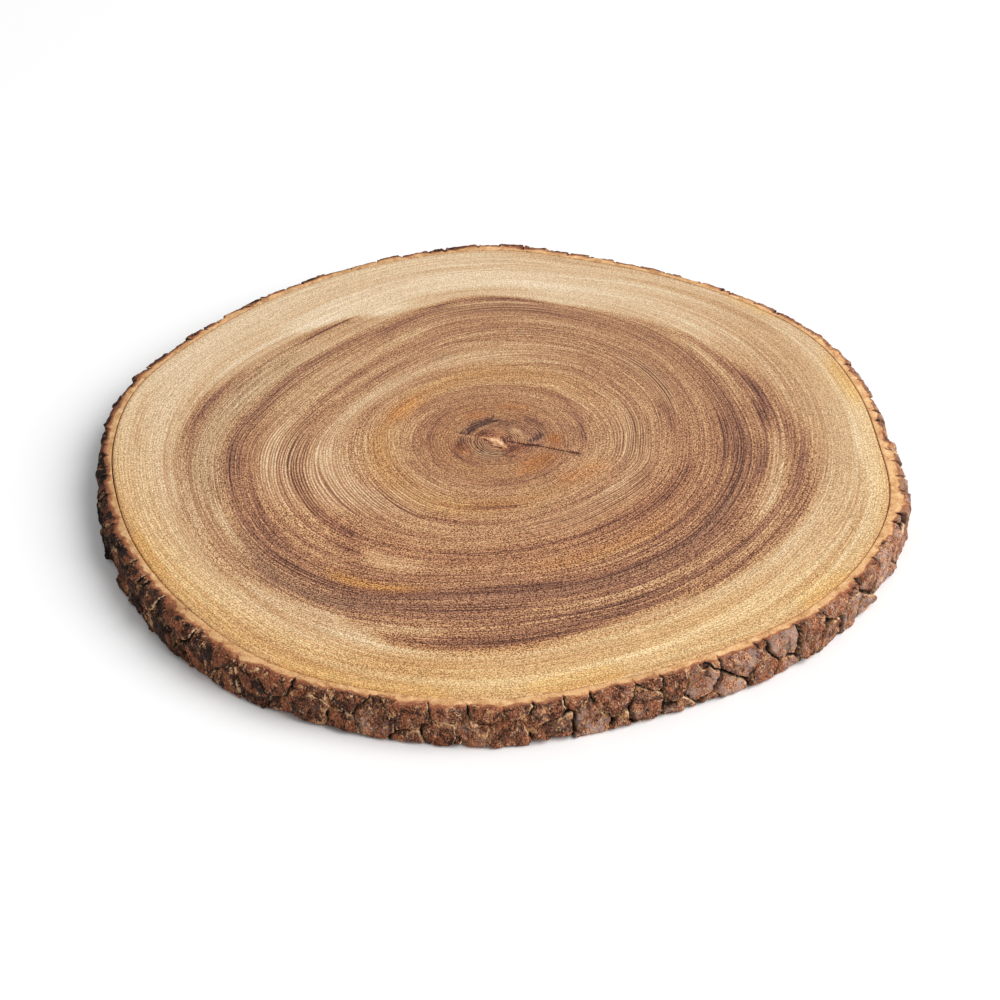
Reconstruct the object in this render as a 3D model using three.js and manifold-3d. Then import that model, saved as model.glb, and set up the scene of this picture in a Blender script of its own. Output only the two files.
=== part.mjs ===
// A wood slice: one cross-cut of a small trunk, flat on both faces, with its bark left on.
// Millimetres, +Z up. The origin is the foot of the pith, on the underside.
import * as THREE from "three";
import { mergeVertices } from "three/addons/utils/BufferGeometryUtils.js";
import Module from "manifold-3d";

// Driving dimensions
const THICKNESS = 20; // between the two saw cuts
const CAMBIUM_GAP = 0.3; // the fine crack where the dried bark has drawn away from the wood
// Pith to the edge of the wood, and pith to the crown of the bark, every 15 degrees from +X towards +Y
const WOOD_RADII = [
  180, 181.5, 184, 180.5, 177, 176.5, 181, 178.5, 176, 175.5, 177, 182,
  181, 179, 180, 182.5, 187, 186, 184.5, 180, 179.5, 183, 185, 185,
];
const BARK_RADII = [
  188, 188.5, 191, 187.5, 184, 185, 190, 186, 182.5, 182, 183.5, 189,
  188.5, 188, 189.5, 193, 195, 194, 193, 188.5, 188, 191.5, 193, 194.5,
];

// The bark is broken into raised plates with furrows between them.
const PLATE_COLUMNS = 84; // plates around the trunk
const PLATE_LENGTH = 18; // along the trunk
const PLATE_ROWS = [-1, 0, 1, 2]; // rows of plates that reach into the slice
const PLATE_SPREAD = 0.75; // how far a plate strays from an even spacing, as a share of that spacing
const LEAST_LIFT = 0.45; // the lowest plate's height, as a share of the highest
const PLATE_LIFT = 2.2; // from the lowest plate's crown to the highest's
const FURROW_DEPTH = 2.6; // below the crown of the plates beside it
const FURROW_WIDTH = 4.5; // from a furrow's middle to the flat of the plate, measured as in edgeDistance
const SEED = 41;

// The bark's section: flat where the saw cut it, with worn outer edges
const TOP_SHOULDER = 3;
const BOTTOM_SHOULDER = 2;
const SHOULDER_DIVISIONS = 1; // an arc takes two steps for each division
const WALL_STEPS = 6;
const SECTIONS = 400; // steps around the trunk

// A drying check runs out from the pith in the upper face, and a ring shake curls round it.
const CHECK_PATH = [[5, 0], [13, -2.6], [19, -3.6], [30, -7.8], [38.5, -10.4]];
const CHECK_WIDTH = 0.9;
const CHECK_DEPTH = 4;
const SHAKE_PATH = [[-1, 17], [-5.5, 14.6], [-10, 11.2], [-13.5, 7.6], [-15.5, 3.6]];
const SHAKE_WIDTH = 1.1;
const SHAKE_DEPTH = 2;
const CRACK_STEPS = 8;

const WOOD_FINISH = { color: 0xc79a68, roughness: 0.5, metalness: 0 };
const BARK_FINISH = { color: 0x4a342a, roughness: 0.9, metalness: 0 };

const FULL_TURN = 2 * Math.PI;
const mean = (values) => values.reduce((sum, value) => sum + value, 0) / values.length;
const WOOD_RADIUS = mean(WOOD_RADII);
const BARK_RADIUS = mean(BARK_RADII);
const PLATE_WIDTH = (FULL_TURN * BARK_RADIUS) / PLATE_COLUMNS;

// A smooth closed curve through evenly spaced radii, read at an angle.
function around(radii, angle) {
  const count = radii.length;
  const place = (((angle / FULL_TURN) % 1) + 1) * count;
  const first = Math.floor(place);
  const t = place - first;
  const at = (step) => radii[(first + step + count) % count];
  const [a, b, c, d] = [at(-1), at(0), at(1), at(2)];
  return b + (t / 2) * (c - a + t * (2 * a - 5 * b + 4 * c - d + t * (3 * (b - c) + d - a)));
}

// Repeatable random numbers from 0 to 1.
function seeded(seed) {
  let state = seed;
  return () => {
    state = (state + 0x6d2b79f5) | 0;
    let mixed = Math.imul(state ^ (state >>> 15), 1 | state);
    mixed = (mixed + Math.imul(mixed ^ (mixed >>> 7), 61 | mixed)) ^ mixed;
    return ((mixed ^ (mixed >>> 14)) >>> 0) / 2 ** 32;
  };
}

// The plates' middles, staggered from column to column like bricks and then strayed.
function makePlates() {
  const random = seeded(SEED);
  const stray = () => PLATE_SPREAD * (random() - 0.5);
  const plates = [];
  for (let column = 0; column < PLATE_COLUMNS; column++) {
    for (const row of PLATE_ROWS) {
      plates.push({
        angle: ((column + 0.5 + stray()) / PLATE_COLUMNS) * FULL_TURN,
        height: (row + (column % 2) / 2 + stray()) * PLATE_LENGTH,
        lift: LEAST_LIFT + (1 - LEAST_LIFT) * random(),
      });
    }
  }
  return plates;
}

const PLATES = makePlates();
const COLUMN_REACH = 2; // columns to either side that can hold the nearest plates

// The nearest plate to a place on the bark, and how far the place is from that plate's furrow.
function edgeDistance(angle, z) {
  const here = Math.floor((((angle / FULL_TURN) % 1) + 1) * PLATE_COLUMNS);
  let nearest = { distance: Infinity };
  let second = Infinity;
  for (let step = -COLUMN_REACH; step <= COLUMN_REACH; step++) {
    const column = (here + step) % PLATE_COLUMNS;
    for (let row = 0; row < PLATE_ROWS.length; row++) {
      const plate = PLATES[column * PLATE_ROWS.length + row];
      const turn = Math.atan2(Math.sin(angle - plate.angle), Math.cos(angle - plate.angle));
      const across = turn * BARK_RADIUS;
      const along = ((z - plate.height) * PLATE_WIDTH) / PLATE_LENGTH;
      const distance = Math.hypot(across, along);
      if (distance < nearest.distance) {
        second = nearest.distance;
        nearest = { distance, plate };
      } else {
        second = Math.min(second, distance);
      }
    }
  }
  return { edge: second - nearest.distance, plate: nearest.plate };
}

// How far the bark's surface lies inside its crown.
function barkDip(angle, z) {
  const { edge, plate } = edgeDistance(angle, z);
  const furrow = 1 - THREE.MathUtils.smoothstep(edge, 0, FURROW_WIDTH);
  return (1 - plate.lift) * PLATE_LIFT + furrow * FURROW_DEPTH * plate.lift;
}

// A lathe turns about +Y, so its axis is brought up to +Z. place() then moves each point off the circle.
function turned(profile, place) {
  const geometry = new THREE.LatheGeometry(profile, SECTIONS).rotateX(Math.PI / 2);
  const position = geometry.getAttribute("position");
  const point = new THREE.Vector3();
  for (let i = 0; i < position.count; i++) {
    point.fromBufferAttribute(position, i);
    const angle = Math.atan2(point.y, point.x);
    const radius = place(Math.hypot(point.x, point.y), angle, point.z);
    position.setXYZ(i, radius * Math.cos(angle), radius * Math.sin(angle), point.z);
  }
  return geometry;
}

function woodGeometry() {
  const profile = [[0, 0], [WOOD_RADIUS, 0], [WOOD_RADIUS, THICKNESS], [0, THICKNESS]];
  return turned(
    profile.map(([x, y]) => new THREE.Vector2(x, y)),
    (radius, angle) => (radius / WOOD_RADIUS) * around(WOOD_RADII, angle),
  );
}

function barkGeometry() {
  const outline = new THREE.Path();
  outline.moveTo(WOOD_RADIUS, 0);
  outline.lineTo(BARK_RADIUS - BOTTOM_SHOULDER, 0);
  outline.absarc(BARK_RADIUS - BOTTOM_SHOULDER, BOTTOM_SHOULDER, BOTTOM_SHOULDER, -Math.PI / 2, 0);
  for (let step = 1; step < WALL_STEPS; step++) {
    const share = step / WALL_STEPS;
    outline.lineTo(BARK_RADIUS, THREE.MathUtils.lerp(BOTTOM_SHOULDER, THICKNESS - TOP_SHOULDER, share));
  }
  outline.lineTo(BARK_RADIUS, THICKNESS - TOP_SHOULDER);
  outline.absarc(BARK_RADIUS - TOP_SHOULDER, THICKNESS - TOP_SHOULDER, TOP_SHOULDER, 0, Math.PI / 2);
  outline.lineTo(WOOD_RADIUS, THICKNESS);
  outline.lineTo(WOOD_RADIUS, 0);
  return turned(outline.getPoints(SHOULDER_DIVISIONS), (radius, angle, z) => {
    const outward = (radius - WOOD_RADIUS) / (BARK_RADIUS - WOOD_RADIUS);
    const inner = around(WOOD_RADII, angle) + CAMBIUM_GAP;
    const crown = around(BARK_RADII, angle) - barkDip(angle, z);
    return THREE.MathUtils.lerp(inner, crown, outward);
  });
}

const wasm = await Module();
wasm.setup();

// A closed geometry as a manifold-3d solid, and back again.
function solidOf(geometry) {
  const bare = geometry.clone().deleteAttribute("normal").deleteAttribute("uv");
  const merged = mergeVertices(bare);
  const mesh = new wasm.Mesh({
    numProp: 3,
    vertProperties: merged.getAttribute("position").array,
    triVerts: new Uint32Array(merged.index.array),
  });
  return new wasm.Manifold(mesh);
}

function geometryOf(solid) {
  const { vertProperties, triVerts } = solid.getMesh();
  const geometry = new THREE.BufferGeometry();
  geometry.setAttribute("position", new THREE.BufferAttribute(vertProperties, 3));
  geometry.setIndex(new THREE.BufferAttribute(triVerts, 1));
  geometry.computeVertexNormals();
  return geometry;
}

// What a crack takes out of the upper face: a blade along a path, widest midway and shut at its ends.
function crackBlade(path, width, depth) {
  const curve = new THREE.SplineCurve(path.map(([x, y]) => new THREE.Vector2(x, y)));
  const middle = curve.getPoints(CRACK_STEPS);
  const sides = [1, -1].map((side) =>
    middle.slice(1, -1).map((point, i) => {
      const share = (i + 1) / CRACK_STEPS;
      const normal = curve.getTangent(share).rotateAround(new THREE.Vector2(), Math.PI / 2);
      return point.clone().addScaledVector(normal, (side * width * Math.sin(Math.PI * share)) / 2);
    }),
  );
  const outline = [middle[0], ...sides[1], middle.at(-1), ...sides[0].reverse()];
  const shape = new THREE.Shape(outline);
  const blade = new THREE.ExtrudeGeometry(shape, { depth: 2 * depth, bevelEnabled: false });
  return blade.translate(0, 0, THICKNESS - depth);
}

function crackedWood() {
  const cracks = [
    crackBlade(CHECK_PATH, CHECK_WIDTH, CHECK_DEPTH),
    crackBlade(SHAKE_PATH, SHAKE_WIDTH, SHAKE_DEPTH),
  ];
  const whole = solidOf(woodGeometry());
  return geometryOf(cracks.reduce((solid, crack) => solid.subtract(solidOf(crack)), whole));
}

function piece(name, geometry, finish) {
  const mesh = new THREE.Mesh(geometry, new THREE.MeshStandardMaterial(finish));
  mesh.name = name;
  return mesh;
}

const slice = new THREE.Group();
slice.add(piece("wood_disc", crackedWood(), WOOD_FINISH));
slice.add(piece("bark_ring", barkGeometry(), BARK_FINISH));

export default slice;
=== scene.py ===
import math

import bpy
import numpy as np
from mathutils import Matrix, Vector, noise


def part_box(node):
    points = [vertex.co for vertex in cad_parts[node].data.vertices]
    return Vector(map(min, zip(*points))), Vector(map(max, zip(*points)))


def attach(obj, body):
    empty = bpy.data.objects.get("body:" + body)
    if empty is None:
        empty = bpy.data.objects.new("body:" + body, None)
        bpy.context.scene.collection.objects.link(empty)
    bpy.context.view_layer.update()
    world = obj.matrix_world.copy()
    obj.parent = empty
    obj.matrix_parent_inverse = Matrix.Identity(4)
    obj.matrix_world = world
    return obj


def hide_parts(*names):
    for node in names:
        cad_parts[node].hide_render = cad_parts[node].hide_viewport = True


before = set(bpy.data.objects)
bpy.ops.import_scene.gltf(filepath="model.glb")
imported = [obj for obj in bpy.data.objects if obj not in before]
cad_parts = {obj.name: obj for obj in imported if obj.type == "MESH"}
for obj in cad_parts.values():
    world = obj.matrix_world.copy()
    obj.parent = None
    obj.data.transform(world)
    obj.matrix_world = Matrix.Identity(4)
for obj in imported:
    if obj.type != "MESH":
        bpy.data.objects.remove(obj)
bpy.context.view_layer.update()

MM = 0.001
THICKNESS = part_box("wood_disc")[1].z / MM

# The outline: pith to the edge of the wood, and pith to the crown of the bark, every 15 degrees
WOOD_RADII = [
    180, 181.5, 184, 180.5, 177, 176.5, 181, 178.5, 176, 175.5, 177, 182,
    181, 179, 180, 182.5, 187, 186, 184.5, 180, 179.5, 183, 185, 185,
]
BARK_RADII = [
    188, 188.5, 191, 187.5, 184, 185, 190, 186, 182.5, 182, 183.5, 189,
    188.5, 188, 189.5, 193, 195, 194, 193, 188.5, 188, 191.5, 193, 194.5,
]
WOOD_RADIUS = np.mean(WOOD_RADII)
BARK_RADIUS = np.mean(BARK_RADII)

# Growth rings are named by their mean radius. They start round and turn wavy as the trunk grows.
ROUND_RING = 45
INNER_RING = 90
OUTER_RING = 121
LAST_RING = 180
INNER_RING_RADII = [
    87, 91, 95, 99, 100.5, 101, 99, 93.5, 85, 81, 80.5, 84.5,
    92, 97.5, 99.5, 99, 97, 93.5, 88.5, 85.5, 84, 84.5, 85.5, 86.5,
]
OUTER_RING_RADII = [
    116, 116.5, 118.5, 123.5, 127.5, 130, 131, 127, 118.5, 114, 115, 119.5,
    127, 130, 133, 135, 132, 121.5, 115.5, 115, 115, 114.5, 114.2, 115,
]


# Shared shaping functions

def smoothstep(value, low, high):
    t = np.clip((value - low) / (high - low), 0, 1)
    return t * t * (3 - 2 * t)


def lerp(a, b, t):
    return a + (b - a) * t


def read(table, place):
    """A table of (place, value), read in between its places."""
    return np.interp(place, *np.transpose(table))


def around(radii, angle):
    """A smooth closed curve through evenly spaced radii, read at an angle."""
    radii = np.asarray(radii, float)
    count = len(radii)
    place = (np.asarray(angle) / 360 % 1) * count
    first = np.floor(place).astype(int)
    t = place - first
    a, b, c, d = (radii[(first + step) % count] for step in (-1, 0, 1, 2))
    return b + t / 2 * (c - a + t * (2 * a - 5 * b + 4 * c - d + t * (3 * (b - c) + d - a)))


def turned(radius, angle):
    """The x and y of a place, from its distance from the pith and its angle."""
    turn = np.radians(angle)
    return radius * np.cos(turn), radius * np.sin(turn)


def noise_at(x, y, z, size):
    """Smooth repeatable noise from about -1 to 1, with features about size across."""
    places = np.stack(np.broadcast_arrays(x, y, z), axis=-1) / size
    values = [noise.noise(place) for place in places.reshape(-1, 3).tolist()]
    return np.array(values).reshape(places.shape[:-1])


def noises_at(x, y, z, layers):
    """Noise added up from layers of (size, reach)."""
    return sum(reach * noise_at(x, y, z, size) for size, reach in layers)


# Making a mesh from a grid of points that closes on itself round the trunk

def ring_mesh(name, points, poles=(), loop=False):
    """points is rows by columns by xyz, in mm. Two poles close the first and last row; a loop joins them."""
    rows, columns = points.shape[:2]
    index = np.arange(rows * columns).reshape(rows, columns)
    if loop:
        index = np.vstack([index, index[:1]])
    beside = np.roll(index, -1, axis=1)
    quads = np.stack([index[:-1], index[1:], beside[1:], beside[:-1]], axis=-1).reshape(-1, 4).tolist()
    triangles = []
    if len(poles):
        first, last = rows * columns, rows * columns + 1
        triangles += [(first, a, b) for a, b in zip(index[0].tolist(), beside[0].tolist())]
        triangles += [(last, b, a) for a, b in zip(index[-1].tolist(), beside[-1].tolist())]
    vertices = np.vstack([points.reshape(-1, 3), np.reshape(poles, (-1, 3))]) * MM
    mesh = bpy.data.meshes.new(name)
    mesh.from_pydata(vertices.tolist(), [], quads + triangles)
    mesh.polygons.foreach_set("use_smooth", np.ones(len(mesh.polygons), bool))
    mesh.validate()
    return mesh


def store(mesh, name, parts, at_poles=()):
    """Keeps three numbers for each vertex, under a name that a material can read."""
    values = np.vstack([np.stack(parts, axis=-1).reshape(-1, 3), np.reshape(at_poles, (-1, 3))])
    attribute = mesh.attributes.new(name, "FLOAT_VECTOR", "POINT")
    attribute.data.foreach_set("vector", values.astype(np.float32).ravel())


def add_object(name, data):
    thing = bpy.data.objects.new(name, data)
    bpy.context.scene.collection.objects.link(thing)
    return thing


def add_piece(name, mesh, material, node):
    """Puts a mesh in the scene in place of its CAD node."""
    piece = add_object(name, mesh)
    mesh.materials.append(material)
    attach(piece, "root")
    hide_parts(node)


# Making materials

def srgb(red, green, blue):
    """A colour from 0 to 255 as a screen shows it, as the linear colour that shaders use."""
    def linear(value):
        share = value / 255
        return share / 12.92 if share <= 0.04045 else ((share + 0.055) / 1.055) ** 2.4
    return (linear(red), linear(green), linear(blue), 1)


class Shader:
    """A new material, and short ways to add nodes to it."""

    def __init__(self, name, **principled):
        self.material = bpy.data.materials.new(name)
        self.material.use_nodes = True
        self.tree = self.material.node_tree
        self.surface = self.tree.nodes["Principled BSDF"]
        self.finish(**principled)

    def finish(self, **sockets):
        for socket, value in sockets.items():
            self.plug(self.surface.inputs[socket.replace("_", " ")], value)
        return self.material

    def plug(self, socket, value):
        if isinstance(value, bpy.types.NodeSocket):
            self.tree.links.new(value, socket)
        else:
            socket.default_value = value

    def add(self, kind, inputs, output=0, **settings):
        node = self.tree.nodes.new("ShaderNode" + kind)
        for setting, value in settings.items():
            setattr(node, setting, value)
        for socket, value in inputs.items():
            self.plug(node.inputs[socket], value)
        return node.outputs[output]

    def attribute(self, name):
        return self.add("Attribute", {}, "Vector", attribute_name=name)

    def parts(self, vector):
        return self.add("SeparateXYZ", {0: vector}).node.outputs

    def maths(self, operation, a, b=0.0):
        return self.add("Math", {0: a, 1: b}, operation=operation)

    def times(self, first, *others):
        for other in others:
            first = self.maths("MULTIPLY", first, other)
        return first

    def plus(self, first, *others):
        for other in others:
            first = self.maths("ADD", first, other)
        return first

    def stretched(self, vector, by):
        return self.add("VectorMath", {0: vector, 1: by}, operation="MULTIPLY")

    def noise(self, vector, scale, detail, roughness):
        inputs = {"Vector": vector, "Scale": scale, "Detail": detail, "Roughness": roughness}
        return self.add("TexNoise", inputs)

    def swing(self, noise, reach):
        """Noise, which gathers round a half, as a swing to either side of nothing."""
        return self.times(self.maths("SUBTRACT", noise, 0.5), 2 * reach)

    def between(self, value, low, high, to_low=0.0, to_high=1.0):
        inputs = {"Value": value, "From Min": low, "From Max": high, "To Min": to_low, "To Max": to_high}
        return self.add("MapRange", inputs, interpolation_type="SMOOTHSTEP")

    def ramp(self, value, stops):
        """A colour for each value, by stops of (value, red, green, blue)."""
        colours = self.add("ValToRGB", {0: value})
        elements = colours.node.color_ramp.elements
        while len(elements) < len(stops):
            elements.new(0)
        for element, (place, *colour) in zip(elements, stops):
            element.position = place
            element.color = srgb(*colour)
        return colours

    def mix(self, share, a, b, blend="MIX"):
        inputs = {0: share, 6: a, 7: b}
        return self.add("Mix", inputs, 2, data_type="RGBA", blend_type=blend, clamp_factor=True)

    def bump(self, height, strength, distance):
        inputs = {"Height": height, "Strength": strength, "Distance": distance}
        self.plug(self.surface.inputs["Normal"], self.add("Bump", inputs))


# The wood's figure. Tone runs from 0, the palest cream, to 1, the darkest plum brown.

# Ring and tone
HEART_TONE = [
    (0, 0.66), (8, 0.72), (15, 0.75), (24, 0.67), (34, 0.67), (46, 0.57), (56, 0.51), (70, 0.53),
    (80, 0.55), (92, 0.64), (102, 0.6), (112, 0.68), (122, 0.69), (150, 0.66), (180, 0.66),
]
SAP_TONE = 0.27
# Where heartwood gives way to sapwood: angle, ring, and how softly
SAP_EDGE = [
    (0, 149, 9), (15, 142, 8), (30, 137, 5), (45, 133, 4), (60, 125, 3.5), (75, 120, 2.5), (92, 123, 3),
    (106, 122, 4), (116, 128, 5), (124, 138, 4), (132, 143, 4), (138, 147, 5), (160, 147.5, 8), (190, 147, 8),
    (215, 143, 7), (230, 139, 4), (242, 137, 4), (249, 145, 5), (254, 153, 3), (264, 155, 2.5),
    (278, 152.5, 2.5), (288, 148.5, 3), (296, 147, 3), (312, 148.5, 3), (330, 149, 4), (345, 150, 5),
    (360, 149, 9),
]

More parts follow.
